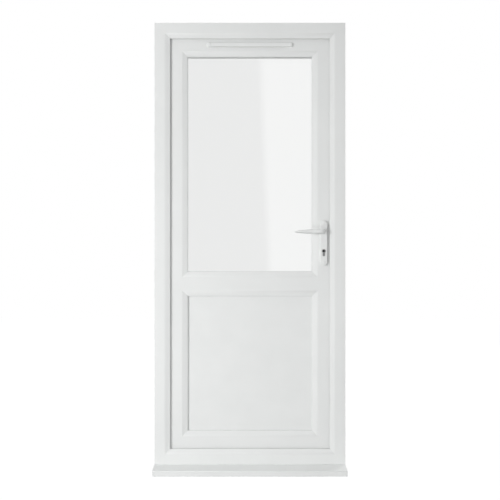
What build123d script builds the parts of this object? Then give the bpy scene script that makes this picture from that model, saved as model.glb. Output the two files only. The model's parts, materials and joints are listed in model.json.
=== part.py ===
import os
from math import cos, radians, sin

from build123d import *

# A half-glazed uPVC back door in its frame, on a projecting cill. Millimetres, +Z up.
# The outside faces -Y. x = 0 is the middle of the frame, y = 0 its outer face, z = 0 the cill's underside.

# Outer frame
frame_width = 890.0
frame_height = 2060.0
frame_depth = 70.0
frame_face = 53.0  # flat part of the frame's outer face
frame_bevel_width = 19.0
frame_bevel_depth = 5.2
upstand_thickness = 9.0  # front to back at the nose that the leaf closes behind
rebate_floor = 50.0  # from the frame's outside edge to the floor of its rebate
trim_groove_width = 6.0  # grooves round the outside edge, where fixing lugs and trims clip in
trim_groove_depth = 3.0
trim_groove_inset = 10.0
profile_radius = 1.5
bevel_radius = 40.0  # where a flat face turns into its bevel
nose_radius = 1.0

# Cill
cill_height = 30.0
cill_projection = 80.0  # in front of the frame's outer face
cill_fall = 5.0
cill_nose_radius = 4.0
cill_cap_thickness = 3.0
drip_groove_width = 6.0
drip_groove_depth = 4.0
drip_groove_inset = 7.0

# Wall fixings, drilled through the jambs
fixing_radius = 5.0
fixing_end_distance = 200.0
fixing_pitch = 1100.0  # between the two inner holes of a jamb

# Leaf
sash_depth = 75.0
sash_width = 111.0  # from the edge of the inside flange to the sight line of the glass
sash_bevel_width = 20.0
sash_bevel_depth = 5.5
sash_nose = 5.0  # square edge left at the foot of the bevel
leaf_gap = 12.0  # between the leaf's edge and the rebate floor
flange_overlap = 8.0  # of the leaf's flange over the frame's inside face
hardware_groove_width = 16.0
hardware_groove_depth = 3.0
mid_rail_height = 114.0
mid_rail_centre = 872.0

# Seals
seal_gap = 5.0  # running gap between a relaxed seal and the piece that closes on it
seal_width = 8.0
seal_root_width = 3.4
seal_root_depth = 3.6
seal_groove_slack = 0.3
frame_seal_lip = 2.0
leaf_seal_lip = 3.0
glazing_seal = 3.0
glazing_seal_width = 14.5

# Glazing
glazing_rebate = 18.0  # from the sight line to the floor of the glazing rebate
glass_edge_gap = 5.0
pane_thickness = 4.0
cavity = 20.0
spacer_height = 8.0
bead_gap = 0.3  # between a bead's lip and the glass or panel
bead_top_width = 9.0
bead_lip = 3.0
bead_sight = 3.0  # how far a bead stops short of the sight line
bead_step = 1.0  # a bead's face lies this far behind the sash's inside face
bead_foot_width = 4.0
bead_foot_depth = 2.7
bead_foot_inset = 12.0  # from the sash's inside face
bead_groove_slack = 0.3
bead_radius = 2.0

# Hinges
hinge_height = 90.0
hinge_knuckle_radius = 8.0
hinge_pin_radius = 4.0
hinge_pin_length = 34.0
hinge_pin_clearance = 0.05
hinge_knuckle_gap = 0.5
hinge_edge_gap = 6.0  # between the knuckle and the leaf's flange
hinge_plate = 5.0
hinge_flag_width = 39.0
hinge_frame_inset = 3.0
hinge_corner = 3.0
hinge_end_distance = 235.0  # from the leaf's end to the middle of the outer hinges

# Lock and handles
lock_backset = 38.5  # from the leaf's edge to the spindle
spindle_height = 1118.0
cylinder_drop = 92.0  # from the spindle down to the cylinder
handle_plate_width = 34.5
handle_plate_height = 210.0
handle_plate_thickness = 12.0
handle_plate_round = 3.5
handle_plate_rise = 50.5  # from the spindle to the plate's top
collar_radius = 13.5
collar_height = 2.5
neck_radius = 9.0
neck_clearance = 0.1
neck_in_plate = 6.0
lever_reach = 122.0
lever_stand_off = 33.0  # from the plate's face to the lever's centre line
lever_bend = 16.0
lever_height = 22.5
lever_thickness = 12.0
lever_belly = 0.3  # how far along the grip it is that tall and thick, as a share of its length
lever_tip_height = 14.0
lever_tip_thickness = 8.0
lever_tip_round = 8.0
grip_steps = 8
tip_steps = 5
tip_turn = 80.0  # degrees of the quarter ellipse that rounds off the tip
spindle_width = 8.0
spindle_slack = 0.1
spindle_hole_radius = 11.0
cylinder_radius = 8.5
cylinder_web = 10.0
cylinder_height = 33.0
cylinder_proud = 3.0
cylinder_slack = 0.25
cylinder_body_slack = 1.5
keyway_width = 2.2
keyway_height = 8.5
keyway_depth = 8.0
plug_radius = 6.6
plug_groove = 0.6
faceplate_end_distance = 110.0
faceplate_slack = 0.2
bolt_slack = 0.3
bolt_width = 10.0
latch_length = 34.0
hook_length = 60.0
hook_end_distance = 300.0  # from the leaf's ends to the hooks
keep_thickness = 3.0
keep_width = 22.0
keep_margin = 40.0  # of a keep past its bolt, at each end
keep_slot_width = 14.0
keep_slot_margin = 6.0

# Trickle vent
vent_length = 402.0
vent_height = 22.0
vent_depth = 11.0
vent_bar_depth = 9.5
vent_bar_height = 20.0
vent_chamfer = 3.0
vent_end_round = 6.0
vent_drop = 57.0  # from the top of the leaf to the middle of the vent
vent_slot_height = 6.0
vent_slot_margin = 30.0
vent_cover_depth = 12.0
vent_cover_round = 4.0
vent_flap_height = 9.0
vent_flap_depth = 2.0

# Levels and lines that follow from those sizes
frame_half = frame_width / 2
frame_top = cill_height + frame_height
frame_nose = frame_face + frame_bevel_width
seal_centre = (frame_nose + rebate_floor) / 2

sash_face_y = upstand_thickness + frame_seal_lip + seal_gap
sash_back_y = sash_face_y + sash_depth
flange_y = frame_depth + seal_gap + leaf_seal_lip
leaf_half = frame_half - rebate_floor + flange_overlap
leaf_bottom = cill_height + rebate_floor - flange_overlap
leaf_top = frame_top - rebate_floor + flange_overlap
leaf_edge = flange_overlap + leaf_gap  # from the flange's edge to the edge of the leaf's body
leaf_middle_y = (sash_face_y + sash_back_y) / 2

sight_half = leaf_half - sash_width
glass_bottom = mid_rail_centre + mid_rail_height / 2
glass_top = leaf_top - sash_width
panel_bottom = leaf_bottom + sash_width
panel_top = mid_rail_centre - mid_rail_height / 2
leg_y = sash_face_y + sash_bevel_depth + sash_nose
glass_y = leg_y + glazing_seal
unit_thickness = 2 * pane_thickness + cavity
glass_back_y = glass_y + unit_thickness
glass_cover = glazing_rebate - glass_edge_gap

hinge_x = -(leaf_half + hinge_edge_gap + hinge_knuckle_radius)
hinge_y = sash_back_y + hinge_knuckle_radius
spindle_x = leaf_half - leaf_edge - lock_backset
plate_centre = spindle_height + handle_plate_rise - handle_plate_height / 2
plate_face_y = sash_face_y - handle_plate_thickness
cylinder_centre = spindle_height - cylinder_drop
groove_y = (sash_face_y + flange_y) / 2
vent_centre = leaf_top - vent_drop

leaf_mirror = Plane.XZ.offset(-leaf_middle_y)

os.makedirs("parts", exist_ok=True)


def save(part, name):
    part.label = name
    export_step(part, f"parts/{name}.step")


def outward_plane(y):
    # A sketch here has x to the right and z up, seen from outside, and a positive extrusion comes outwards.
    return Plane.XZ.offset(-y)


def four_sides(half_width, bottom, top):
    # Each side of a rectangle: its corner, the way in to the middle, the way along it, and its length.
    width = 2 * half_width
    height = top - bottom
    return {
        "hinge": ((-half_width, 0, bottom), (1, 0, 0), (0, 0, 1), height),
        "lock": ((half_width, 0, top), (-1, 0, 0), (0, 0, -1), height),
        "top": ((-half_width, 0, top), (0, 0, -1), (1, 0, 0), width),
        "bottom": ((half_width, 0, bottom), (0, 0, 1), (-1, 0, 0), width),
    }


def mitred_bar(points, rounds, side):
    # A profile run along one side of a rectangle and cut at 45 degrees at both corners.
    corner, inward, along, length = side
    start = Vector(corner)
    inward = Vector(inward)
    along = Vector(along)
    with BuildPart() as bar:
        with BuildSketch(Plane(origin=start, x_dir=inward, z_dir=along)) as profile:
            with BuildLine():
                Polyline(*points, close=True)
            make_face()
            for place, radius in rounds:
                fillet(profile.vertices().sort_by_distance(place)[0], radius)
        extrude(amount=length)
        split(bisect_by=Plane(origin=start, z_dir=along - inward), keep=Keep.TOP)
        split(bisect_by=Plane(origin=start + along * length, z_dir=-along - inward), keep=Keep.TOP)
    return bar.part


def flat_ring(half_width, bottom, top, ring_width, front_y, back_y):
    # A rectangular ring whose outside edge is given, from its front to its back.
    middle = (bottom + top) / 2
    with BuildPart() as ring:
        with BuildSketch(outward_plane(front_y)):
            with Locations((0, middle)):
                Rectangle(2 * half_width, top - bottom)
                Rectangle(2 * (half_width - ring_width), top - bottom - 2 * ring_width, mode=Mode.SUBTRACT)
        extrude(amount=front_y - back_y)
    return ring.part


# Outer frame: four mitred lengths of one profile
frame_groove_half = seal_root_width / 2 + seal_groove_slack
frame_groove_y = upstand_thickness - seal_root_depth - seal_groove_slack
trim_back = frame_depth - trim_groove_inset
frame_profile = [
    (0, 0),
    (frame_face, 0),
    (frame_nose, frame_bevel_depth),
    (frame_nose, upstand_thickness),
    (seal_centre + frame_groove_half, upstand_thickness),
    (seal_centre + frame_groove_half, frame_groove_y),
    (seal_centre - frame_groove_half, frame_groove_y),
    (seal_centre - frame_groove_half, upstand_thickness),
    (rebate_floor, upstand_thickness),
    (rebate_floor, frame_depth),
    (0, frame_depth),
    (0, trim_back),
    (trim_groove_depth, trim_back),
    (trim_groove_depth, trim_back - trim_groove_width),
    (0, trim_back - trim_groove_width),
    (0, trim_groove_inset + trim_groove_width),
    (trim_groove_depth, trim_groove_inset + trim_groove_width),
    (trim_groove_depth, trim_groove_inset),
    (0, trim_groove_inset),
]
frame_rounds = [
    ((0, 0), profile_radius),
    ((frame_face, 0), bevel_radius),
    ((frame_nose, frame_bevel_depth), nose_radius),
    ((frame_nose, upstand_thickness), nose_radius),
    ((rebate_floor, frame_depth), profile_radius),
    ((0, frame_depth), profile_radius),
]
frame_sides = four_sides(frame_half, cill_height, frame_top)
frame_middle = (cill_height + frame_top) / 2
fixing_y = groove_y
fixing_outer = frame_height / 2 - fixing_end_distance
fixing_places = [
    (fixing_y, frame_middle + offset)
    for offset in (-fixing_outer, -fixing_pitch / 2, fixing_pitch / 2, fixing_outer)
]

for name, side in (("frame_head", "top"), ("frame_bottom_rail", "bottom")):
    save(mitred_bar(frame_profile, frame_rounds, frame_sides[side]), name)

for name, side, outside in (
    ("frame_hinge_jamb", "hinge", -frame_half),
    ("frame_lock_jamb", "lock", frame_half),
):
    jamb_bar = mitred_bar(frame_profile, frame_rounds, frame_sides[side])
    with BuildPart() as jamb:
        add(jamb_bar)
        with BuildSketch(Plane.YZ.offset(outside)):
            with Locations(*fixing_places):
                Circle(fixing_radius)
        extrude(amount=rebate_floor, both=True, mode=Mode.SUBTRACT)
    save(jamb.part, name)

# Seal in the back of the frame's upstand
lip_inset = seal_centre - seal_width / 2
root_inset = seal_centre - seal_root_width / 2
frame_lip = flat_ring(
    frame_half - lip_inset,
    cill_height + lip_inset,
    frame_top - lip_inset,
    seal_width,
    upstand_thickness,
    upstand_thickness + frame_seal_lip,
)
frame_root = flat_ring(
    frame_half - root_inset,
    cill_height + root_inset,
    frame_top - root_inset,
    seal_root_width,
    upstand_thickness - seal_root_depth,
    upstand_thickness,
)
with BuildPart() as frame_seal:
    add(frame_lip)
    add(frame_root)
save(frame_seal.part, "frame_seal")

# Cill and its end caps
cill_front = -cill_projection
cill_profile = [
    (frame_depth, 0),
    (frame_depth, cill_height),
    (0, cill_height),
    (cill_front, cill_height - cill_fall),
    (cill_front, 0),
    (cill_front + drip_groove_inset, 0),
    (cill_front + drip_groove_inset, drip_groove_depth),
    (cill_front + drip_groove_inset + drip_groove_width, drip_groove_depth),
    (cill_front + drip_groove_inset + drip_groove_width, 0),
]


def cill_length(left, right):
    with BuildPart() as length:
        with BuildSketch(Plane(origin=(left, 0, 0), x_dir=(0, 1, 0), z_dir=(1, 0, 0))) as profile:
            with BuildLine():
                Polyline(*cill_profile, close=True)
            make_face()
            nose = profile.vertices().sort_by_distance((cill_front, cill_height - cill_fall))[0]
            fillet(nose, cill_nose_radius)
        extrude(amount=right - left)
    return length.part


cill_end = frame_half - cill_cap_thickness
save(cill_length(-cill_end, cill_end), "cill")
save(cill_length(-frame_half, -cill_end), "cill_end_cap_left")
save(cill_length(cill_end, frame_half), "cill_end_cap_right")

# Leaf: mitred stiles and rails, with a middle rail let into notches in the stiles
leaf_groove_half = hardware_groove_width / 2
flange_seal_centre = flange_overlap / 2 + leaf_edge / 4
flange_groove_half = seal_root_width / 2 + seal_groove_slack
flange_groove_y = flange_y + seal_root_depth + seal_groove_slack
leg_start = sash_width - glazing_rebate
foot_y = sash_back_y - bead_foot_inset
foot_groove_half = bead_foot_width / 2 + bead_groove_slack
foot_groove = leg_start - bead_foot_depth - bead_groove_slack
sash_profile = [
    (leaf_edge, sash_face_y),
    (sash_width - sash_bevel_width, sash_face_y),
    (sash_width, leg_y - sash_nose),
    (sash_width, leg_y),
    (leg_start, leg_y),
    (leg_start, foot_y - foot_groove_half),
    (foot_groove, foot_y - foot_groove_half),
    (foot_groove, foot_y + foot_groove_half),
    (leg_start, foot_y + foot_groove_half),
    (leg_start, sash_back_y),
    (0, sash_back_y),
    (0, flange_y),
    (flange_seal_centre - flange_groove_half, flange_y),
    (flange_seal_centre - flange_groove_half, flange_groove_y),
    (flange_seal_centre + flange_groove_half, flange_groove_y),
    (flange_seal_centre + flange_groove_half, flange_y),
    (leaf_edge, flange_y),
    (leaf_edge, groove_y + leaf_groove_half),
    (leaf_edge + hardware_groove_depth, groove_y + leaf_groove_half),
    (leaf_edge + hardware_groove_depth, groove_y - leaf_groove_half),
    (leaf_edge, groove_y - leaf_groove_half),
]
sash_rounds = [
    ((leaf_edge, sash_face_y), profile_radius),
    ((sash_width - sash_bevel_width, sash_face_y), bevel_radius),
    ((sash_width, leg_y - sash_nose), nose_radius),
    ((0, sash_back_y), profile_radius * 2),
    ((0, flange_y), profile_radius),
]
sash_sides = four_sides(leaf_half, leaf_bottom, leaf_top)
save(mitred_bar(sash_profile, sash_rounds, sash_sides["bottom"]), "sash_bottom_rail")

# The top rail has the vent's air slot through it.
top_rail_bar = mitred_bar(sash_profile, sash_rounds, sash_sides["top"])
with BuildPart() as sash_top_rail:
    add(top_rail_bar)
    with BuildSketch(outward_plane(sash_face_y)):
        with Locations((0, vent_centre)):
            Rectangle(vent_length - 2 * vent_slot_margin, vent_slot_height)
    extrude(amount=-sash_depth, mode=Mode.SUBTRACT)
save(sash_top_rail.part, "sash_top_rail")


def middle_rail_outline():
    # Both ends come to a point at 45 degrees, to meet the bevels of the stiles.
    tip = sight_half + mid_rail_height / 2
    return [
        (-tip, mid_rail_centre),
        (-sight_half, glass_bottom),
        (sight_half, glass_bottom),
        (tip, mid_rail_centre),
        (sight_half, panel_top),
        (-sight_half, panel_top),
    ]


half_rail = mid_rail_height / 2
rail_floor = half_rail - glazing_rebate
rail_foot = rail_floor - bead_foot_depth - bead_groove_slack
upper_half = [
    (half_rail - sash_bevel_width, sash_face_y),
    (half_rail, leg_y - sash_nose),
    (half_rail, leg_y),
    (rail_floor, leg_y),
    (rail_floor, foot_y - foot_groove_half),
    (rail_foot, foot_y - foot_groove_half),
    (rail_foot, foot_y + foot_groove_half),
    (rail_floor, foot_y + foot_groove_half),
    (rail_floor, sash_back_y),
]
lower_half = [(-across, depth) for across, depth in reversed(upper_half)]
rail_tip = sight_half + half_rail
with BuildPart() as sash_mid_rail:
    with BuildSketch(Plane(origin=(-rail_tip, 0, mid_rail_centre), x_dir=(0, 0, -1), z_dir=(1, 0, 0))) as web:
        with BuildLine():
            Polyline(*upper_half, *lower_half, close=True)
        make_face()
        for turn, nose in (upper_half[:2], lower_half[:-3:-1]):
            fillet(web.vertices().sort_by_distance(turn)[0], bevel_radius)
            fillet(web.vertices().sort_by_distance(nose)[0], nose_radius)
    extrude(amount=2 * rail_tip)
    with BuildSketch(outward_plane(0)):
        with BuildLine():
            Polyline(*middle_rail_outline(), close=True)
        make_face()
    extrude(amount=-(sash_back_y + sash_depth), mode=Mode.INTERSECT)
save(sash_mid_rail.part, "sash_mid_rail")


def notched_stile(side):
    bar = mitred_bar(sash_profile, sash_rounds, sash_sides[side])
    with BuildPart() as stile:
        add(bar)
        with BuildSketch(outward_plane(0)):
            with BuildLine():
                Polyline(*middle_rail_outline(), close=True)
            make_face()
        extrude(amount=-(sash_back_y + sash_depth), mode=Mode.SUBTRACT)
    return stile.part


def cylinder_sketch(slack):
    # The keyhole-shaped outline of a lock cylinder: a round barrel above a narrower web.
    foot = cylinder_height - cylinder_radius - cylinder_web / 2
    with BuildSketch() as outline:
        Circle(cylinder_radius + slack)
        with Locations((0, -foot / 2)):
            Rectangle(cylinder_web + 2 * slack, foot)
        with Locations((0, -foot)):
            Circle(cylinder_web / 2 + slack)
    return outline.sketch


save(notched_stile("hinge"), "sash_hinge_stile")
lock_stile_bar = notched_stile("lock")
stile_cut = cylinder_sketch(cylinder_body_slack)
with BuildPart() as sash_lock_stile:
    add(lock_stile_bar)
    with BuildSketch(outward_plane(sash_face_y)):
        with Locations((spindle_x, spindle_height)):
            Circle(spindle_hole_radius)
        with Locations((spindle_x, cylinder_centre)):
            add(stile_cut)
    extrude(amount=-sash_depth, mode=Mode.SUBTRACT)
save(sash_lock_stile.part, "sash_lock_stile")

# Seal in the front of the leaf's flange
leaf_lip_inset = flange_seal_centre - seal_width / 2
leaf_root_inset = flange_seal_centre - seal_root_width / 2
leaf_lip = flat_ring(
    leaf_half - leaf_lip_inset,
    leaf_bottom + leaf_lip_inset,
    leaf_top - leaf_lip_inset,
    seal_width,
    flange_y - leaf_seal_lip,
    flange_y,
)
leaf_root = flat_ring(
    leaf_half - leaf_root_inset,
    leaf_bottom + leaf_root_inset,
    leaf_top - leaf_root_inset,
    seal_root_width,
    flange_y,
    flange_y + seal_root_depth,
)
with BuildPart() as leaf_seal:
    add(leaf_lip)
    add(leaf_root)
save(leaf_seal.part, "leaf_seal")


# Glazing: the sealed unit above the middle rail and the flat panel below it
def filling(bottom, top, front_y, thickness):
    with BuildPart() as slab:
        with BuildSketch(outward_plane(front_y)):
            with Locations((0, (bottom + top) / 2)):
                Rectangle(2 * (sight_half + glass_cover), top - bottom + 2 * glass_cover)
        extrude(amount=-thickness)
    return slab.part


def cover_ring(bottom, top, ring_width, front_y, back_y):
    return flat_ring(
        sight_half + glass_cover,
        bottom - glass_cover,
        top + glass_cover,
        ring_width,
        front_y,
        back_y,
    )


inner_pane_y = glass_back_y - pane_thickness
save(filling(glass_bottom, glass_top, glass_y, pane_thickness), "glass_outer_pane")
save(filling(glass_bottom, glass_top, inner_pane_y, pane_thickness), "glass_inner_pane")
save(
    cover_ring(glass_bottom, glass_top, spacer_height, glass_y + pane_thickness, inner_pane_y),
    "glass_spacer",
)
save(filling(panel_bottom, panel_top, glass_y, unit_thickness), "infill_panel")
save(cover_ring(glass_bottom, glass_top, glazing_seal_width, leg_y, glass_y), "glass_seal")
save(cover_ring(panel_bottom, panel_top, glazing_seal_width, leg_y, glass_y), "panel_seal")

# Glazing beads, mitred, each with a foot in the groove of the sash
bead_front = glass_back_y + bead_gap
bead_back = sash_back_y - bead_step
bead_height = glazing_rebate - bead_sight
foot_half = bead_foot_width / 2
bead_profile = [
    (0, bead_front),
    (bead_height, bead_front),
    (bead_height, bead_front + bead_lip),
    (bead_top_width, bead_back),
    (0, bead_back),
    (0, foot_y + foot_half),
    (-bead_foot_depth, foot_y + foot_half),
    (-bead_foot_depth, foot_y - foot_half),
    (0, foot_y - foot_half),
]
bead_rounds = [((bead_top_width, bead_back), bead_radius)]


def bead(side):
    # The foot lies outside the rebate's corner, so the mitres start from the foot.
    corner, inward, along, length = side
    start = Vector(corner) - Vector(inward) * bead_foot_depth - Vector(along) * bead_foot_depth
    shifted = [(across + bead_foot_depth, depth) for across, depth in bead_profile]
    rounds = [((across + bead_foot_depth, depth), radius) for (across, depth), radius in bead_rounds]
    grown = (tuple(start), inward, along, length + 2 * bead_foot_depth)
    return mitred_bar(shifted, rounds, grown)


for opening, bottom, top in (("glass", glass_bottom, glass_top), ("panel", panel_bottom, panel_top)):
    bead_sides = four_sides(sight_half + glazing_rebate, bottom - glazing_rebate, top + glazing_rebate)
    for side_name, side in bead_sides.items():
        save(bead(side), f"{opening}_bead_{side_name}")

# Hinges: a fixed half with the pin, on the frame's inside face, and a flag on the leaf
hinge_heights = {
    "top": leaf_top - hinge_end_distance,
    "middle": (leaf_top + leaf_bottom) / 2,
    "bottom": leaf_bottom + hinge_end_distance,
}
knuckle_height = (hinge_height - hinge_knuckle_gap) / 2
fixed_plate_left = -(frame_half - hinge_frame_inset)
fixed_plate_right = hinge_x + hinge_knuckle_radius
flag_left = -(leaf_half - profile_radius * 2)


def plan_rectangle(left, right, front_y, back_y):
    with Locations(((left + right) / 2, (front_y + back_y) / 2)):
        Rectangle(right - left, back_y - front_y)


def hinge_frame_half(middle):
    bottom = middle - hinge_height / 2
    with BuildPart() as half:
        with BuildSketch(Plane.XY.offset(bottom)):
            plan_rectangle(fixed_plate_left, fixed_plate_right, frame_depth, frame_depth + hinge_plate)
        extrude(amount=hinge_height)
        corners = half.edges().filter_by(Axis.Y).group_by(Axis.X)[0]
        fillet(corners, hinge_corner)
        with BuildSketch(Plane.XY.offset(bottom)):
            plan_rectangle(hinge_x - hinge_knuckle_radius, fixed_plate_right, frame_depth, hinge_y)
            with Locations((hinge_x, hinge_y)):
                Circle(hinge_knuckle_radius)
        extrude(amount=knuckle_height)
        with BuildSketch(Plane.XY.offset(bottom + knuckle_height)):
            with Locations((hinge_x, hinge_y)):
                Circle(hinge_pin_radius)
        extrude(amount=hinge_pin_length)
    return half.part


def hinge_leaf_half(middle):
    bottom = middle - hinge_height / 2
    knuckle_bottom = bottom + knuckle_height + hinge_knuckle_gap
    with BuildPart() as half:
        with BuildSketch(Plane.XY.offset(bottom)):
            plan_rectangle(flag_left, flag_left + hinge_flag_width, sash_back_y, sash_back_y + hinge_plate)
        extrude(amount=hinge_height)
        corners = half.edges().filter_by(Axis.Y).group_by(Axis.X)[-1]
        fillet(corners, hinge_corner)
        with BuildSketch(Plane.XY.offset(knuckle_bottom)):
            plan_rectangle(hinge_x, flag_left, sash_back_y, sash_back_y + hinge_plate)
            with Locations((hinge_x, hinge_y)):
                Circle(hinge_knuckle_radius)
        extrude(amount=knuckle_height)
        with BuildSketch(Plane.XY.offset(knuckle_bottom)):
            with Locations((hinge_x, hinge_y)):
                Circle(hinge_pin_radius + hinge_pin_clearance)
        extrude(amount=hinge_pin_length, mode=Mode.SUBTRACT)
    return half.part


for place, middle in hinge_heights.items():
    save(hinge_frame_half(middle), f"hinge_frame_half_{place}")
    save(hinge_leaf_half(middle), f"hinge_leaf_half_{place}")

# Lock: a long faceplate in the leaf's edge, with the latch and hooks drawn back flush in it
bolts = (
    (spindle_height, latch_length),
    (leaf_top - hook_end_distance, hook_length),
    (leaf_bottom + hook_end_distance, hook_length),
)
leaf_edge_x = leaf_half - leaf_edge
faceplate_bottom = leaf_bottom + faceplate_end_distance
faceplate_top = leaf_top - faceplate_end_distance
edge_plane = Plane.YZ.offset(leaf_edge_x)
with BuildPart() as lock_faceplate:
    with BuildSketch(edge_plane):
        with Locations((groove_y, (faceplate_bottom + faceplate_top) / 2)):
            plate_width = hardware_groove_width - 2 * faceplate_slack
            SlotOverall(faceplate_top - faceplate_bottom, plate_width, rotation=90)
        for height, length in bolts:
            with Locations((groove_y, height)):
                Rectangle(bolt_width + 2 * bolt_slack, length + 2 * bolt_slack, mode=Mode.SUBTRACT)
    extrude(amount=-hardware_groove_depth)
save(lock_faceplate.part, "lock_faceplate")

with BuildPart() as lock_bolts:
    with BuildSketch(edge_plane):
        for height, length in bolts:
            with Locations((groove_y, height)):
                RectangleRounded(bolt_width, length, bolt_width / 4)
    extrude(amount=-hardware_groove_depth)
save(lock_bolts.part, "lock_bolts")

with BuildPart() as lock_keeps:
    with BuildSketch(Plane.YZ.offset(frame_half - rebate_floor)):
        for height, length in bolts:
            with Locations((groove_y, height)):
                SlotOverall(length + 2 * keep_margin, keep_width, rotation=90)
                Rectangle(keep_slot_width, length + 2 * keep_slot_margin, mode=Mode.SUBTRACT)
    extrude(amount=-keep_thickness)
save(lock_keeps.part, "lock_keeps")

# Handles: a long backplate and a lever on each face, joined by a square spindle
cylinder_cut = cylinder_sketch(cylinder_slack)
with BuildPart() as handle_plate_outside:
    with BuildSketch(outward_plane(sash_face_y)):
        with Locations((spindle_x, plate_centre)):
            SlotOverall(handle_plate_height, handle_plate_width, rotation=90)
    extrude(amount=handle_plate_thickness)
    fillet(handle_plate_outside.faces().sort_by(Axis.Y)[0].edges(), handle_plate_round)
    with BuildSketch(outward_plane(plate_face_y)):
        with Locations((spindle_x, spindle_height)):
            Circle(collar_radius)
    extrude(amount=collar_height)
    with BuildSketch(outward_plane(sash_face_y)):
        with Locations((spindle_x, spindle_height)):
            Circle(neck_radius + neck_clearance)
        with Locations((spindle_x, cylinder_centre)):
            add(cylinder_cut)
    extrude(amount=handle_plate_thickness + collar_height, mode=Mode.SUBTRACT)
save(handle_plate_outside.part, "handle_plate_outside")

with BuildPart() as handle_plate_inside:
    mirror(handle_plate_outside.part, about=leaf_mirror)
save(handle_plate_inside.part, "handle_plate_inside")

lever_y = plate_face_y - lever_stand_off
neck_start = plate_face_y + neck_in_plate
neck_end = lever_y + lever_bend
grip_start = spindle_x - lever_bend
grip_length = lever_reach - lever_bend
tip_start = grip_length - lever_tip_round


def grip_size(share, at_neck, at_belly, at_tip):
    # A smooth change of size along the grip, through its sizes at the neck, the belly and the tip
    neck_part = (share - lever_belly) * (share - 1) / lever_belly
    belly_part = share * (1 - share) / (lever_belly * (1 - lever_belly))
    tip_part = share * (share - lever_belly) / (1 - lever_belly)
    return at_neck * neck_part + at_belly * belly_part + at_tip * tip_part


def grip_section(along, height, thickness):
    station = (grip_start - along, lever_y, spindle_height)
    with BuildSketch(Plane(origin=station, x_dir=(0, 0, 1), z_dir=(-1, 0, 0))) as section:
        Ellipse(height / 2, thickness / 2)
    return section.sketch


grip_sections = []
for step in range(grip_steps + 1):
    share = step / grip_steps
    height = grip_size(share, 2 * neck_radius, lever_height, lever_tip_height)
    thickness = grip_size(share, 2 * neck_radius, lever_thickness, lever_tip_thickness)
    grip_sections.append(grip_section(share * tip_start, height, thickness))
# The tip rounds off as a quarter ellipse, down to a small flat.
for step in range(1, tip_steps + 1):
    turn = step / tip_steps * tip_turn
    along = tip_start + lever_tip_round * sin(radians(turn))
    narrowing = cos(radians(turn))
    grip_sections.append(grip_section(along, lever_tip_height * narrowing, lever_tip_thickness * narrowing))

with BuildPart() as lever_outside:
    with BuildSketch(outward_plane(neck_start)):
        with Locations((spindle_x, spindle_height)):
            Circle(neck_radius)
    extrude(amount=neck_start - neck_end)
    with BuildLine() as bend:
        bend_start = (spindle_x, neck_end, spindle_height)
        TangentArc(bend_start, (grip_start, lever_y, spindle_height), tangent=(0, -1, 0))
    with BuildSketch(outward_plane(neck_end)):
        with Locations((spindle_x, spindle_height)):
            Circle(neck_radius)
    sweep(path=bend.line)
    loft(grip_sections, ruled=True)
    spindle_socket = spindle_width + 2 * spindle_slack
    with BuildSketch(outward_plane(neck_start)):
        with Locations((spindle_x, spindle_height)):
            Rectangle(spindle_socket, spindle_socket)
    extrude(amount=lever_stand_off / 2, mode=Mode.SUBTRACT)
save(lever_outside.part, "lever_outside")

with BuildPart() as lever_inside:
    mirror(lever_outside.part, about=leaf_mirror)
save(lever_inside.part, "lever_inside")

socket_end = neck_start - lever_stand_off / 2
spindle_length = 2 * (leaf_middle_y - socket_end)
with BuildPart() as spindle:
    with BuildSketch(outward_plane(leaf_middle_y)):
        with Locations((spindle_x, spindle_height)):
            Rectangle(spindle_width, spindle_width)
    extrude(amount=spindle_length / 2, both=True)
save(spindle.part, "spindle")

# Lock cylinder, with its plug's ring and keyway at both ends
cylinder_face_y = plate_face_y - cylinder_proud
cylinder_body = cylinder_sketch(0)
with BuildPart() as euro_cylinder:
    with BuildSketch(outward_plane(cylinder_face_y)):
        with Locations((spindle_x, cylinder_centre)):
            add(cylinder_body)
    extrude(amount=-2 * (leaf_middle_y - cylinder_face_y))
    with BuildSketch(outward_plane(cylinder_face_y)):
        with Locations((spindle_x, cylinder_centre)):
            Circle(plug_radius + plug_groove)
            Circle(plug_radius, mode=Mode.SUBTRACT)
    extrude(amount=-plug_groove, mode=Mode.SUBTRACT)
    with BuildSketch(outward_plane(cylinder_face_y)):
        with Locations((spindle_x, cylinder_centre)):
            Rectangle(keyway_width, keyway_height)
    extrude(amount=-keyway_depth, mode=Mode.SUBTRACT)
save(euro_cylinder.part, "lock_cylinder")

# Trickle vent: a hood outside with domed ends, and a cover with its flap inside
with BuildPart() as vent_canopy:
    bar_half = vent_length / 2 - vent_height / 2
    with BuildSketch(Plane(origin=(-bar_half, 0, vent_centre), x_dir=(0, 1, 0), z_dir=(1, 0, 0))) as hood:
        with Locations((sash_face_y - vent_bar_depth / 2, 0)):
            Rectangle(vent_bar_depth, vent_bar_height)
        front = hood.vertices().group_by(Axis.X)[0]
        chamfer(front.sort_by(Axis.Y)[-1], vent_chamfer)
        fillet(front.sort_by(Axis.Y)[0], profile_radius)
    extrude(amount=2 * bar_half)
    for end_x in (-bar_half, bar_half):
        end = (end_x, sash_face_y, vent_centre)
        with BuildSketch(Plane(origin=end, x_dir=(1, 0, 0), z_dir=(0, 0, 1))) as dome:
            with Locations((vent_height / 4, -vent_depth / 2)):
                Rectangle(vent_height / 2, vent_depth)
            rim = dome.vertices().sort_by_distance((vent_height / 2, -vent_depth))[0]
            fillet(rim, vent_end_round)
        revolve(axis=Axis(end, (0, 1, 0)))
    with BuildSketch(outward_plane(sash_face_y)):
        with Locations((0, vent_centre - vent_height / 4)):
            Rectangle(vent_length - 2 * vent_slot_margin, vent_height / 2)
    extrude(amount=vent_slot_height, mode=Mode.SUBTRACT)
save(vent_canopy.part, "vent_canopy")

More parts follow.
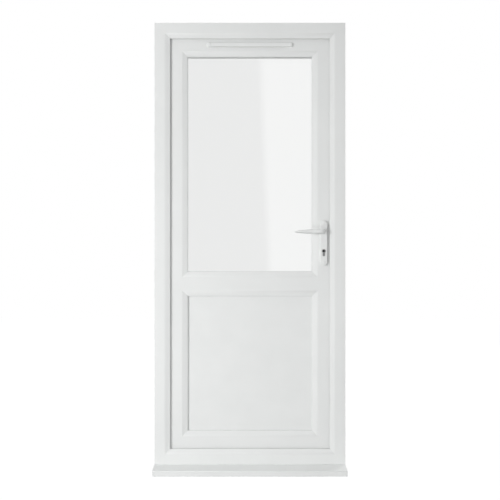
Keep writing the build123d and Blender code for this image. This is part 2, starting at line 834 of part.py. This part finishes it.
with BuildPart() as vent_inner_cover:
    with BuildSketch(outward_plane(sash_back_y)):
        with Locations((0, vent_centre)):
            SlotOverall(vent_length, vent_height)
    extrude(amount=-vent_cover_depth)
    fillet(vent_inner_cover.faces().sort_by(Axis.Y)[-1].edges(), vent_cover_round)
    with BuildSketch(outward_plane(sash_back_y + vent_cover_depth)):
        with Locations((0, vent_centre)):
            flap_length = vent_length - 2 * vent_slot_margin
            SlotOverall(flap_length, vent_flap_height)
            SlotOverall(flap_length - vent_flap_depth, vent_flap_height - vent_flap_depth, mode=Mode.SUBTRACT)
    extrude(amount=vent_flap_depth, mode=Mode.SUBTRACT)
save(vent_inner_cover.part, "vent_inner_cover")
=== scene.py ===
import json
import math

import bpy
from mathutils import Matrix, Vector


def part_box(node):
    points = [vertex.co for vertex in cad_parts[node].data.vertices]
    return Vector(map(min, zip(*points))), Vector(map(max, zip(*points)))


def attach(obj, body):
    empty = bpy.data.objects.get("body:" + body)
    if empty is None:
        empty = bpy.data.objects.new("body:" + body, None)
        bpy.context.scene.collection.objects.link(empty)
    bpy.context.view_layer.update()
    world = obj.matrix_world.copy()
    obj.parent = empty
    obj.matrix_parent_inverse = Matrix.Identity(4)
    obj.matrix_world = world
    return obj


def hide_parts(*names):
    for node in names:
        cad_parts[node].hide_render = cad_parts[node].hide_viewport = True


# half-glazed door in its frame: finishes, small fittings, levers, light and camera

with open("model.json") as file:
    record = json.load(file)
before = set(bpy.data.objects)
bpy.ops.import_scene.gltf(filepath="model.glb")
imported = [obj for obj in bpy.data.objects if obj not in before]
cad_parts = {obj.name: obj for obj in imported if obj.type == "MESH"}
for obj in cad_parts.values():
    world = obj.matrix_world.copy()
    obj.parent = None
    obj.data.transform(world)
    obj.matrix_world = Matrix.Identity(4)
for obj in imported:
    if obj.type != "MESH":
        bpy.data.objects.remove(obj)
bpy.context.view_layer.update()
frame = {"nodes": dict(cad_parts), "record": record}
nodes = frame["nodes"]
mm = 0.001
xAxis, yAxis, zAxis = range(3)
print("frame loaded:", len(nodes), "nodes")


def clearSelection():
    if bpy.context.object and bpy.context.object.mode != "OBJECT":
        bpy.ops.object.mode_set(mode="OBJECT")
    bpy.ops.object.select_all(action="DESELECT")


# places on the CAD pieces, in mm

def lowEnd(name, axis):
    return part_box(name)[0][axis] / mm


def highEnd(name, axis):
    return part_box(name)[1][axis] / mm


def middleOf(name, axis):
    return (lowEnd(name, axis) + highEnd(name, axis)) / 2


# node helpers, for the materials and the room

noiseSpan = (0.3, 0.7)  # the part of a noise's range where most of its values lie


def startMaterial(name):
    material = bpy.data.materials.new(name)
    material.use_nodes = True
    tree = material.node_tree
    return material, tree, tree.nodes["Principled BSDF"]


def objectCoords(tree, along=xAxis, stretch=1.0):
    coords = tree.nodes.new("ShaderNodeTexCoord")
    mapping = tree.nodes.new("ShaderNodeMapping")
    mapping.inputs["Scale"].default_value[along] = stretch
    tree.links.new(coords.outputs["Object"], mapping.inputs["Vector"])
    return mapping.outputs["Vector"]


def noiseOn(tree, vector, scale, detail):
    noise = tree.nodes.new("ShaderNodeTexNoise")
    noise.inputs["Scale"].default_value = scale
    noise.inputs["Detail"].default_value = detail
    tree.links.new(vector, noise.inputs["Vector"])
    return noise.outputs["Fac"]


def colourBetween(tree, factor, low, high):
    ramp = tree.nodes.new("ShaderNodeValToRGB")
    for stop, place, colour in zip(ramp.color_ramp.elements, noiseSpan, (low, high)):
        stop.position = place
        stop.color = (*colour, 1)
    tree.links.new(factor, ramp.inputs["Fac"])
    return ramp.outputs["Color"]


def rangeBetween(tree, value, low, high, span=noiseSpan):
    spread = tree.nodes.new("ShaderNodeMapRange")
    spread.inputs["From Min"].default_value, spread.inputs["From Max"].default_value = span
    spread.inputs["To Min"].default_value = low
    spread.inputs["To Max"].default_value = high
    tree.links.new(value, spread.inputs["Value"])
    return spread.outputs["Result"]


def bumpFrom(tree, shader, height, strength, distance):
    bump = tree.nodes.new("ShaderNodeBump")
    bump.inputs["Strength"].default_value = strength
    bump.inputs["Distance"].default_value = distance
    tree.links.new(height, bump.inputs["Height"])
    tree.links.new(bump.outputs["Normal"], shader.inputs["Normal"])


def addMath(tree, operation, *values):
    node = tree.nodes.new("ShaderNodeMath")
    node.operation = operation
    for socket, value in zip(node.inputs, values):
        if isinstance(value, float):
            socket.default_value = value
        else:
            tree.links.new(value, socket)
    return node.outputs[0]


def mixShaders(tree, factor, first, second, output):
    mix = tree.nodes.new("ShaderNodeMixShader")
    tree.links.new(factor, mix.inputs["Fac"])
    tree.links.new(first.outputs[0], mix.inputs[1])
    tree.links.new(second.outputs[0], mix.inputs[2])
    tree.links.new(mix.outputs[0], output.inputs["Surface"])


# materials: each family has its own short function, and all read Object coordinates

upvc = {
    "low": (0.822, 0.832, 0.826),
    "high": (0.850, 0.859, 0.853),
    "cloud": 3.5,
    "roughLow": 0.30,
    "roughHigh": 0.42,
    "sheen": 0.45,
    "drawnLines": 260.0,  # fine lines left by the die, along a profile's length
    "lineStretch": 0.02,
    "lineStrength": 0.06,
    "lineDepth": 0.0004,
}


def makeUpvc(name, along):
    material, tree, shader = startMaterial(name)
    cloud = noiseOn(tree, objectCoords(tree), upvc["cloud"], detail=4.0)
    colour = colourBetween(tree, cloud, upvc["low"], upvc["high"])
    tree.links.new(colour, shader.inputs["Base Color"])
    drawn = objectCoords(tree, along, upvc["lineStretch"])
    lines = noiseOn(tree, drawn, upvc["drawnLines"], detail=2.0)
    rough = rangeBetween(tree, lines, upvc["roughLow"], upvc["roughHigh"])
    tree.links.new(rough, shader.inputs["Roughness"])
    shader.inputs["Specular IOR Level"].default_value = upvc["sheen"]
    bumpFrom(tree, shader, lines, upvc["lineStrength"], upvc["lineDepth"])
    return material


# moulded or powder-coated whites: fine even texture
whites = {
    "panelSkin": {
        "low": (0.822, 0.832, 0.826), "high": (0.845, 0.854, 0.848),
        "rough": 0.36, "grain": 700.0, "depth": 0.0002,
    },
    "mouldedWhite": {
        "low": (0.832, 0.842, 0.837), "high": (0.856, 0.865, 0.859),
        "rough": 0.34, "grain": 1100.0, "depth": 0.0002,
    },
    "powderWhite": {
        "low": (0.832, 0.841, 0.836), "high": (0.855, 0.864, 0.858),
        "rough": 0.28, "grain": 1500.0, "depth": 0.0003,
    },
    # a darker copy of the powder white, for the outside lever: painted shade
    "shadedLeverWhite": {
        "low": (0.785, 0.794, 0.789), "high": (0.81, 0.819, 0.813),
        "rough": 0.26, "grain": 1500.0, "depth": 0.0003,
    },
    "spacerBar": {
        "low": (0.80, 0.81, 0.81), "high": (0.85, 0.86, 0.86),
        "rough": 0.45, "grain": 400.0, "depth": 0.0002,
    },
}
whiteSkin = {"cloud": 9.0, "smoother": 0.05, "rougher": 0.06, "bump": 0.12}


def makeWhite(name):
    white = whites[name]
    material, tree, shader = startMaterial(name)
    coords = objectCoords(tree)
    cloud = noiseOn(tree, coords, whiteSkin["cloud"], detail=3.0)
    colour = colourBetween(tree, cloud, white["low"], white["high"])
    tree.links.new(colour, shader.inputs["Base Color"])
    skin = noiseOn(tree, coords, white["grain"], detail=2.0)
    smoothest = white["rough"] - whiteSkin["smoother"]
    roughest = white["rough"] + whiteSkin["rougher"]
    rough = rangeBetween(tree, skin, smoothest, roughest)
    tree.links.new(rough, shader.inputs["Roughness"])
    bumpFrom(tree, shader, skin, whiteSkin["bump"], white["depth"])
    return material


rubbers = {
    # the seals in the frame's gaps: grey rubber, made darker as painted shade along the gap lines
    "shadedSealRubber": {"low": (0.30, 0.31, 0.305), "high": (0.37, 0.38, 0.375)},
    "glazingSeal": {"low": (0.72, 0.73, 0.725), "high": (0.78, 0.79, 0.785)},
}
rubberSkin = {
    "cloud": 40.0, "grain": 900.0, "roughLow": 0.62, "roughHigh": 0.78, "bump": 0.15, "depth": 0.0003,
}


def makeRubber(name):
    rubber = rubbers[name]
    material, tree, shader = startMaterial(name)
    coords = objectCoords(tree)
    cloud = noiseOn(tree, coords, rubberSkin["cloud"], detail=3.0)
    colour = colourBetween(tree, cloud, rubber["low"], rubber["high"])
    tree.links.new(colour, shader.inputs["Base Color"])
    skin = noiseOn(tree, coords, rubberSkin["grain"], detail=2.0)
    rough = rangeBetween(tree, skin, rubberSkin["roughLow"], rubberSkin["roughHigh"])
    tree.links.new(rough, shader.inputs["Roughness"])
    bumpFrom(tree, shader, skin, rubberSkin["bump"], rubberSkin["depth"])
    return material


glass = {
    "tint": (0.949, 0.952, 0.95, 1),
    "bending": 1.5,
    "film": 6.0,  # scale of the faint film on the panes
    "filmRough": 0.012,
    "lightTint": (0.985, 0.985, 0.985, 1),
}


def makeGlass():
    material, tree, shader = startMaterial("clearGlass")
    shader.inputs["Base Color"].default_value = glass["tint"]
    shader.inputs["Transmission Weight"].default_value = 1.0
    shader.inputs["IOR"].default_value = glass["bending"]
    film = noiseOn(tree, objectCoords(tree), glass["film"], detail=2.0)
    tree.links.new(rangeBetween(tree, film, 0.0, glass["filmRough"]), shader.inputs["Roughness"])
    # lamp light passes straight through, so that what is behind the glass is lit
    path = tree.nodes.new("ShaderNodeLightPath").outputs
    passing = addMath(tree, "MAXIMUM", path["Is Shadow Ray"], path["Is Diffuse Ray"])
    clear = tree.nodes.new("ShaderNodeBsdfTransparent")
    clear.inputs["Color"].default_value = glass["lightTint"]
    mixShaders(tree, passing, shader, clear, tree.nodes["Material Output"])
    return material


metals = {
    "platedSteel": {
        "low": (0.50, 0.50, 0.51), "high": (0.62, 0.62, 0.63),
        "rough": 0.30, "along": zAxis, "lines": 500.0,
    },
    "dullNickel": {
        "low": (0.27, 0.27, 0.273), "high": (0.37, 0.37, 0.374),
        "rough": 0.42, "along": xAxis, "lines": 700.0,
    },
    # near black: painted shade of the recessed keyway
    "plugShadeBlack": {
        "low": (0.012, 0.012, 0.012), "high": (0.025, 0.025, 0.025),
        "rough": 0.5, "along": xAxis, "lines": 700.0,
    },
}
brush = {"stretch": 0.03, "smoother": 0.06, "rougher": 0.08, "bump": 0.08, "depth": 0.0002}


def makeMetal(name):
    metal = metals[name]
    material, tree, shader = startMaterial(name)
    shader.inputs["Metallic"].default_value = 1.0
    drawn = objectCoords(tree, metal["along"], brush["stretch"])
    brushed = noiseOn(tree, drawn, metal["lines"], detail=3.0)
    colour = colourBetween(tree, brushed, metal["low"], metal["high"])
    tree.links.new(colour, shader.inputs["Base Color"])
    smoothest = metal["rough"] - brush["smoother"]
    roughest = metal["rough"] + brush["rougher"]
    rough = rangeBetween(tree, brushed, smoothest, roughest)
    tree.links.new(rough, shader.inputs["Roughness"])
    bumpFrom(tree, shader, brushed, brush["bump"], brush["depth"])
    return material


upvcAcross = makeUpvc("upvcAcross", xAxis)
upvcUpright = makeUpvc("upvcUpright", zAxis)
panelSkin = makeWhite("panelSkin")
mouldedWhite = makeWhite("mouldedWhite")
powderWhite = makeWhite("powderWhite")
shadedLeverWhite = makeWhite("shadedLeverWhite")
spacerBar = makeWhite("spacerBar")
shadedSealRubber = makeRubber("shadedSealRubber")
glazingSeal = makeRubber("glazingSeal")
clearGlass = makeGlass()
platedSteel = makeMetal("platedSteel")
dullNickel = makeMetal("dullNickel")
plugShadeBlack = makeMetal("plugShadeBlack")

finishes = {
    "white_upvc": upvcUpright,
    "cill_caps": mouldedWhite,
    "panel_skin": panelSkin,
    "seal_rubber": shadedSealRubber,
    "clear_glass": clearGlass,
    "spacer": spacerBar,
    "white_hardware": powderWhite,
    "vent_plastic": mouldedWhite,
    "lock_steel": platedSteel,
    "cylinder_metal": dullNickel,
}
lyingNodes = ("head", "rail", "cill", "bead_top", "bead_bottom")  # lengths that run across
slotOf = {sub["node"]: sub["material_slot"] for sub in frame["record"]["subparts"]}
for name, node in nodes.items():
    finish = finishes[slotOf[name]]
    if finish is upvcUpright and any(word in name for word in lyingNodes):
        finish = upvcAcross
    if name in ("glass_seal", "panel_seal"):
        finish = glazingSeal
    node.data.materials.clear()
    node.data.materials.append(finish)
print("materials set")

# sharp edges are eased, which also draws the fine line where two mitred lengths are welded
easing = {  # widths in mm, by slot
    "white_upvc": 0.35,
    "cill_caps": 0.5,
    "white_hardware": 0.5,
    "lock_steel": 0.25,
    "cylinder_metal": 0.25,
}
easedOver = 38  # degrees between two faces
weldReach = 0.02  # mm
for name, node in nodes.items():
    width = easing.get(slotOf[name])
    if width is None or name.startswith(("handle", "lever")):
        continue
    weld = node.modifiers.new("weld", "WELD")
    weld.merge_threshold = weldReach * mm
    ease = node.modifiers.new("ease", "BEVEL")
    ease.width = width * mm
    ease.segments = 2
    ease.limit_method = "ANGLE"
    ease.angle_limit = math.radians(easedOver)
    ease.use_clamp_overlap = False
print("edges eased")


# small fittings: heads are made once, facing +Z, then copied into place

def placeMesh():
    bpy.ops.object.transform_apply(location=True, rotation=True, scale=True)


def useModifier(obj, kind, **values):
    bpy.context.view_layer.objects.active = obj
    modifier = obj.modifiers.new(kind.lower(), kind)
    for key, value in values.items():
        setattr(modifier, key, value)
    bpy.ops.object.modifier_apply(modifier=modifier.name)


heads = {  # mm: how far a head rises over its seat and is sunk in it, and its softened edge
    "cover": {"radius": 5.4, "rise": 3.4, "sunk": 1.0, "soften": 1.2},
    "cap": {"radius": 7.2, "rise": 1.4, "sunk": 0.6, "soften": 1.0},
    "screw": {"radius": 4.0, "rise": 0.9, "sunk": 1.2, "soften": 0.6},
    "plug": {"radius": 5.0, "rise": 0.5, "sunk": 0.4, "soften": 0.3},
}
cross = {"reach": 4.4, "width": 1.1, "depth": 1.3, "soften": 0.22}
keySlot = {"width": 2.0, "height": 8.0, "depth": 0.8}


def makeHead(kind):
    radius, rise, sunk, soften = (size * mm for size in heads[kind].values())
    clearSelection()
    bpy.ops.mesh.primitive_cylinder_add(
        vertices=32, radius=radius, depth=rise + sunk, location=(0, 0, (rise - sunk) / 2)
    )
    head = bpy.context.object
    placeMesh()
    useModifier(
        head, "BEVEL", width=soften, segments=4, profile=0.6,
        limit_method="ANGLE", angle_limit=math.radians(50),
    )
    return head


def cutBlade(head, kind, length, width, depth, turn=0, soften=0):
    clearSelection()
    top = (0, 0, heads[kind]["rise"] * mm)
    bpy.ops.mesh.primitive_cube_add(size=1, location=top, rotation=(0, 0, math.radians(turn)))
    blade = bpy.context.object
    blade.scale = (length * mm, width * mm, depth * mm * 2)
    placeMesh()
    if soften:
        bpy.ops.object.mode_set(mode="EDIT")
        bpy.ops.mesh.select_all(action="SELECT")
        bpy.ops.mesh.bevel(offset=soften * mm, segments=2)
        bpy.ops.object.mode_set(mode="OBJECT")
    useModifier(head, "BOOLEAN", operation="DIFFERENCE", object=blade, solver="EXACT")
    bpy.data.objects.remove(blade)


facings = {"-Y": (90, 0, 0), "+Y": (-90, 0, 0), "+X": (0, 90, 0), "-X": (0, -90, 0)}
turnStep = 23  # every head is turned a little further about its own axis, as real screws are


def placeHeads(head, name, places, facing, body, finish):
    copies = []
    for count, place in enumerate(places):
        clearSelection()
        head.select_set(True)
        bpy.context.view_layer.objects.active = head
        bpy.ops.object.duplicate()
        copy = bpy.context.object
        turn = math.radians(turnStep * count)
        bpy.ops.transform.rotate(value=turn, orient_axis="Z", center_override=(0, 0, 0))
        placeMesh()
        copy.rotation_euler = [math.radians(angle) for angle in facings[facing]]
        copy.location = [value * mm for value in place]
        placeMesh()
        copies.append(copy)
    clearSelection()
    for copy in copies:
        copy.select_set(True)
    bpy.context.view_layer.objects.active = copies[0]
    bpy.ops.object.join()
    joined = bpy.context.object
    joined.name = name
    joined.data.materials.clear()
    joined.data.materials.append(finish)
    bpy.ops.object.shade_smooth_by_angle(angle=math.radians(35))
    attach(joined, body)


fittings = {  # mm
    "plateScrewHeights": (1154.5, 974.5),
    "plateOutY": 4.0,
    "plateInY": 103.0,
    "cylinderZ": 1026.0,
    "flagX": -376.0,
    "flagY": 96.0,
    "flagScrews": (-30, 0, 30),  # from the hinge's middle
    "jambPlateX": -434.0,
    "jambPlateY": 75.0,
    "jambPlateScrews": (-30, 30),
    "faceplateScrews": (215, 560, 940, 1290, 1600, 1905),
    "keepScrews": (1079, 1157, 1694, 1802, 318, 426),
    "fixingX": 395.0,
    "fixingHeights": (230, 510, 1610, 1890),
}


def makeFittings():
    f = fittings
    spindleX = middleOf("spindle", xAxis)
    lockY = middleOf("lock_faceplate", yAxis)
    hinges = [middleOf(f"hinge_leaf_half_{level}", zAxis) for level in ("top", "middle", "bottom")]

    # domed covers over the bolts of the outside plate
    cover = makeHead("cover")
    places = [(spindleX, f["plateOutY"], z) for z in f["plateScrewHeights"]]
    placeHeads(cover, "plateBoltCovers", places, "-Y", "leaf", powderWhite)

    # caps on the rebate floor, over the frame fixings
    cap = makeHead("cap")
    left = [(-f["fixingX"], lockY, z) for z in f["fixingHeights"]]
    right = [(f["fixingX"], lockY, z) for z in f["fixingHeights"]]
    placeHeads(cap, "hingeJambFixingCaps", left, "+X", "frame", mouldedWhite)
    placeHeads(cap, "lockJambFixingCaps", right, "-X", "frame", mouldedWhite)

    # cross-head screws
    screw = makeHead("screw")
    for turn in (0, 90):
        cutBlade(screw, "screw", cross["reach"], cross["width"], cross["depth"], turn, cross["soften"])
    places = [(spindleX, f["plateInY"], z) for z in f["plateScrewHeights"]]
    placeHeads(screw, "insidePlateScrews", places, "+Y", "leaf", platedSteel)
    places = [(f["flagX"], f["flagY"], z + step) for z in hinges for step in f["flagScrews"]]
    placeHeads(screw, "hingeFlagScrews", places, "+Y", "leaf", platedSteel)
    places = [(f["jambPlateX"], f["jambPlateY"], z + step) for z in hinges for step in f["jambPlateScrews"]]
    placeHeads(screw, "hingeJambScrews", places, "+Y", "frame", platedSteel)
    places = [(highEnd("lock_faceplate", xAxis), lockY, z) for z in f["faceplateScrews"]]
    placeHeads(screw, "faceplateScrews", places, "+X", "leaf", platedSteel)
    places = [(lowEnd("lock_keeps", xAxis), lockY, z) for z in f["keepScrews"]]
    placeHeads(screw, "keepScrews", places, "-X", "frame", platedSteel)

    # plug in each end of the lock cylinder, with its key slot; its near-black colour is painted shade of
    # the recessed keyway
    plug = makeHead("plug")
    cutBlade(plug, "plug", keySlot["width"], keySlot["height"], keySlot["depth"])
    outside = [(spindleX, lowEnd("lock_cylinder", yAxis), f["cylinderZ"])]
    inside = [(spindleX, highEnd("lock_cylinder", yAxis), f["cylinderZ"])]
    placeHeads(plug, "outsidePlug", outside, "-Y", "leaf", plugShadeBlack)
    placeHeads(plug, "insidePlug", inside, "+Y", "leaf", plugShadeBlack)

    for master in (cover, cap, screw, plug):
        bpy.data.objects.remove(master)


makeFittings()
print("fittings placed")

# levers: a round neck, an elbow, and a grip that thins out towards its tip
lever = {  # mm
    "neckRadius": 9.0,
    "elbow": 16.0,
    "lineY": -29.0,  # middle of the grip's thickness
    "socketWall": 3.2,
    "socketDepth": 16.5,
    "grip": (  # distance from the spindle, height, thickness
        (30, 19.6, 14.6),
        (45, 19.2, 12.6),
        (60, 17.8, 11.4),
        (76, 15.8, 10.4),
        (92, 13.2, 9.4),
        (106, 10.8, 8.4),
        (116, 9.0, 7.4),
        (122, 7.4, 6.2),
        (125.5, 5.0, 4.4),
        (127, 2.4, 2.2),
    ),
}


def extrudeBy(x, y):
    bpy.ops.mesh.extrude_region_move(TRANSFORM_OT_translate={"value": (x, y, 0)})


def makeLever(name, node, finish, inside):
    x, leafMiddle, z = (middleOf("spindle", axis) * mm for axis in (xAxis, yAxis, zAxis))
    lineY, elbow = lever["lineY"] * mm, lever["elbow"] * mm
    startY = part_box("lever_outside")[1][1]
    neckEnd = lineY + elbow
    clearSelection()
    bpy.ops.mesh.primitive_circle_add(
        vertices=24, radius=lever["neckRadius"] * mm, fill_type="NGON",
        location=(x, startY, z), rotation=(math.radians(90), 0, 0),
    )
    piece = bpy.context.object
    placeMesh()
    bpy.ops.object.mode_set(mode="EDIT")
    bpy.ops.mesh.select_mode(type="FACE")
    bpy.ops.mesh.select_all(action="SELECT")
    extrudeBy(0, neckEnd - startY)
    bpy.ops.mesh.spin(steps=6, angle=math.radians(90), center=(x - elbow, neckEnd, z), axis=(0, 0, 1))
    reached = lever["elbow"]
    lastHeight = lastThickness = 2 * lever["neckRadius"]
    for along, height, thickness in lever["grip"]:
        extrudeBy((reached - along) * mm, 0)
        bpy.ops.transform.resize(
            value=(1, thickness / lastThickness, height / lastHeight),
            center_override=(x - along * mm, lineY, z),
        )
        reached, lastHeight, lastThickness = along, height, thickness
    # a socket in the neck for the spindle
    bpy.ops.mesh.select_all(action="DESELECT")
    bpy.ops.object.mode_set(mode="OBJECT")
    for face in piece.data.polygons:
        face.select = abs(face.center.y - startY) < 0.01 * mm
    bpy.ops.object.mode_set(mode="EDIT")
    bpy.ops.mesh.inset(thickness=lever["socketWall"] * mm, depth=0)
    extrudeBy(0, -lever["socketDepth"] * mm)
    bpy.ops.mesh.select_all(action="SELECT")
    if inside:
        bpy.ops.transform.resize(value=(1, -1, 1), center_override=(x, leafMiddle, z))
    bpy.ops.mesh.remove_doubles(threshold=0.001 * mm)
    bpy.ops.mesh.normals_make_consistent(inside=False)
    bpy.ops.object.mode_set(mode="OBJECT")
    useModifier(piece, "SUBSURF", levels=1, render_levels=1)
    bpy.ops.object.shade_smooth_by_angle(angle=math.radians(60))
    piece.name = name
    piece.data.materials.append(finish)
    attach(piece, "lever")
    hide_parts(node)


# the outside lever takes the darker copy of the powder white, painted shade
makeLever("outsideLever", "lever_outside", shadedLeverWhite, False)
makeLever("insideLever", "lever_inside", powderWhite, True)
print("levers made")

# the camera: lens and sensor in mm, its place in metres
shot = {"lens": 50.0, "sensor": 36.0, "distance": 3.237, "height": 1.0307, "across": 0.0003}

# light: an even pale room over a floor, with three lamps, in metres
studio = {
    "roomLow": 0.02,  # the room's brightness below, and overhead
    "roomHigh": 0.665,
    "roomColour": (0.992, 1.0, 0.996, 1),
    "floorSize": 14.0,
    "floorColour": (0.6, 0.6, 0.6, 1),
    "floorRough": 0.9,
    "floorSheen": 0.1,
    "floorGlow": 1.08,
    "floorWhite": 0.9,  # share of the floor that is plain white, the rest takes the shadow
}
lamps = {
    "keyLight": {  # from the left
        "place": (-3.3, -3.3, 1.6), "aim": (0.0, 0.0, 0.9), "size": (0.3, 0.3), "watts": 98.0,
    },
    "lowLight": {  # for the cill and the door's foot
        "place": (-0.8, -2.2, 0.12), "aim": (0.0, 0.0, 0.3), "size": (1.8, 0.16), "watts": 8.0,
    },
    "backLight": {  # lights the inside face, for the views from behind
        "place": (3.2, 3.4, 2.0), "aim": (0.0, 0.1, 0.95), "size": (1.6, 1.6), "watts": 105.0,
    },
}


def seenRays(tree):
    # 1 for what is looked at, mirrored or seen through the glass, 0 for the light that falls on things
    path = tree.nodes.new("ShaderNodeLightPath").outputs
    direct = addMath(tree, "MAXIMUM", path["Is Camera Ray"], path["Is Glossy Ray"])
    return addMath(tree, "MAXIMUM", direct, path["Is Transmission Ray"])


def makeWorld():
    world = bpy.data.worlds.new("paleRoom")
    bpy.context.scene.world = world
    world.use_nodes = True
    tree = world.node_tree
    tree.nodes.clear()
    coords = tree.nodes.new("ShaderNodeTexCoord")
    split = tree.nodes.new("ShaderNodeSeparateXYZ")
    tree.links.new(coords.outputs["Generated"], split.inputs[0])
    level = rangeBetween(tree, split.outputs["Z"], studio["roomLow"], studio["roomHigh"], (-1.0, 1.0))
    room = tree.nodes.new("ShaderNodeBackground")
    room.inputs["Color"].default_value = studio["roomColour"]
    tree.links.new(level, room.inputs["Strength"])
    white = tree.nodes.new("ShaderNodeBackground")
    white.inputs["Color"].default_value = (1, 1, 1, 1)
    white.inputs["Strength"].default_value = 1.0
    mixShaders(tree, seenRays(tree), room, white, tree.nodes.new("ShaderNodeOutputWorld"))


def makeFloor():
    clearSelection()
    bpy.ops.mesh.primitive_plane_add(size=studio["floorSize"], location=(0, 0, 0))
    floor = bpy.context.object
    floor.name = "floor"
    material, tree, shader = startMaterial("paleFloor")
    shader.inputs["Base Color"].default_value = studio["floorColour"]
    shader.inputs["Roughness"].default_value = studio["floorRough"]
    shader.inputs["Specular IOR Level"].default_value = studio["floorSheen"]
    glow = tree.nodes.new("ShaderNodeEmission")
    glow.inputs["Color"].default_value = (1, 1, 1, 1)
    glow.inputs["Strength"].default_value = studio["floorGlow"]
    share = addMath(tree, "MULTIPLY", seenRays(tree), studio["floorWhite"])
    mixShaders(tree, share, shader, glow, tree.nodes["Material Output"])
    floor.data.materials.append(material)


def makeLamp(name, settings):
    lamp = bpy.data.lights.new(name, "AREA")
    lamp.shape = "RECTANGLE"
    lamp.size, lamp.size_y = settings["size"]
    lamp.energy = settings["watts"]
    holder = bpy.data.objects.new(name, lamp)
    bpy.context.collection.objects.link(holder)
    holder.location = settings["place"]
    direction = Vector(settings["aim"]) - holder.location
    holder.rotation_euler = direction.to_track_quat("-Z", "Y").to_euler()
    holder.visible_camera = False
    holder.visible_transmission = False  # no lamp shows through the glass
    holder.visible_glossy = False  # no bright square in the glass, the sheen is the room's


# a grey screen behind the camera, which only shows as the soft slanted edge in the glass
screen = {  # metres
    "grey": 0.42,
    "back": 5.0,
    "width": 2.4,
    "height": 7.0,
    "topX": 0.049,  # two points of the edge, as it shows on the glass
    "topZ": 1.937,
    "bottomX": 0.090,
    "bottomZ": 0.929,
    "soft": 0.05,
    "footHeight": 0.72,
}


def makeScreen():
    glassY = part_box("glass_outer_pane")[0][1]
    # the screen is this much wider than its image in the glass
    spread = 1 + (screen["back"] + glassY) / (shot["distance"] + glassY)
    topX = screen["topX"] * spread
    bottomX = screen["bottomX"] * spread
    topZ = shot["height"] + (screen["topZ"] - shot["height"]) * spread
    bottomZ = shot["height"] + (screen["bottomZ"] - shot["height"]) * spread
    middleZ = (topZ + bottomZ) / 2
    lean = (topX - bottomX) / (topZ - bottomZ)
    soft = screen["soft"]
    clearSelection()
    bpy.ops.mesh.primitive_plane_add(size=1, location=(0, 0, 0), rotation=(math.radians(90), 0, 0))
    card = bpy.context.object
    card.name = "greyScreen"
    placeMesh()
    for vert in card.data.vertices:
        z = vert.co.z * screen["height"]
        vert.co = (lean * z + soft + (vert.co.x - 0.5) * screen["width"], 0, z)
    card.location = ((topX + bottomX) / 2, -screen["back"], middleZ)

    material = bpy.data.materials.new("greyScreen")
    material.use_nodes = True
    tree = material.node_tree
    tree.nodes.clear()
    coords = tree.nodes.new("ShaderNodeTexCoord")
    split = tree.nodes.new("ShaderNodeSeparateXYZ")
    tree.links.new(coords.outputs["Object"], split.inputs[0])
    upright = addMath(tree, "MULTIPLY_ADD", split.outputs["Z"], -lean, split.outputs["X"])
    fade = rangeBetween(tree, upright, screen["grey"], 1.0, (-soft, soft))
    # it pales towards its foot, so that its reflection has no hard end at the floor
    footSpan = (-middleZ, screen["footHeight"] - middleZ)
    foot = rangeBetween(tree, split.outputs["Z"], 1.0, screen["grey"], footSpan)
    # grey in a reflection only: through the glass, from inside, the screen is as white as the room
    mirrored = tree.nodes.new("ShaderNodeMapRange")
    path = tree.nodes.new("ShaderNodeLightPath").outputs
    tree.links.new(path["Glossy Depth"], mirrored.inputs["Value"])
    mirrored.inputs["To Min"].default_value = 1.0
    tree.links.new(addMath(tree, "MAXIMUM", fade, foot), mirrored.inputs["To Max"])
    glow = tree.nodes.new("ShaderNodeEmission")
    glow.inputs["Color"].default_value = (1, 1, 1, 1)
    tree.links.new(mirrored.outputs["Result"], glow.inputs["Strength"])
    out = tree.nodes.new("ShaderNodeOutputMaterial")
    tree.links.new(glow.outputs[0], out.inputs["Surface"])
    card.data.materials.append(material)
    card.visible_camera = False
    card.visible_diffuse = False
    card.visible_shadow = False


makeWorld()
makeFloor()
for name, settings in lamps.items():
    makeLamp(name, settings)
makeScreen()
print("light and floor set")

# camera: square on, from outside
cameraData = bpy.data.cameras.new("frontCamera")
cameraData.lens = shot["lens"]
cameraData.sensor_width = shot["sensor"]
cameraData.sensor_fit = "HORIZONTAL"
camera = bpy.data.objects.new("frontCamera", cameraData)
bpy.context.collection.objects.link(camera)
camera.location = (shot["across"], -shot["distance"], shot["height"])
camera.rotation_euler = (math.radians(90), 0, 0)
bpy.context.scene.camera = camera
bpy.context.scene.view_settings.view_transform = "Standard"
print("camera set")
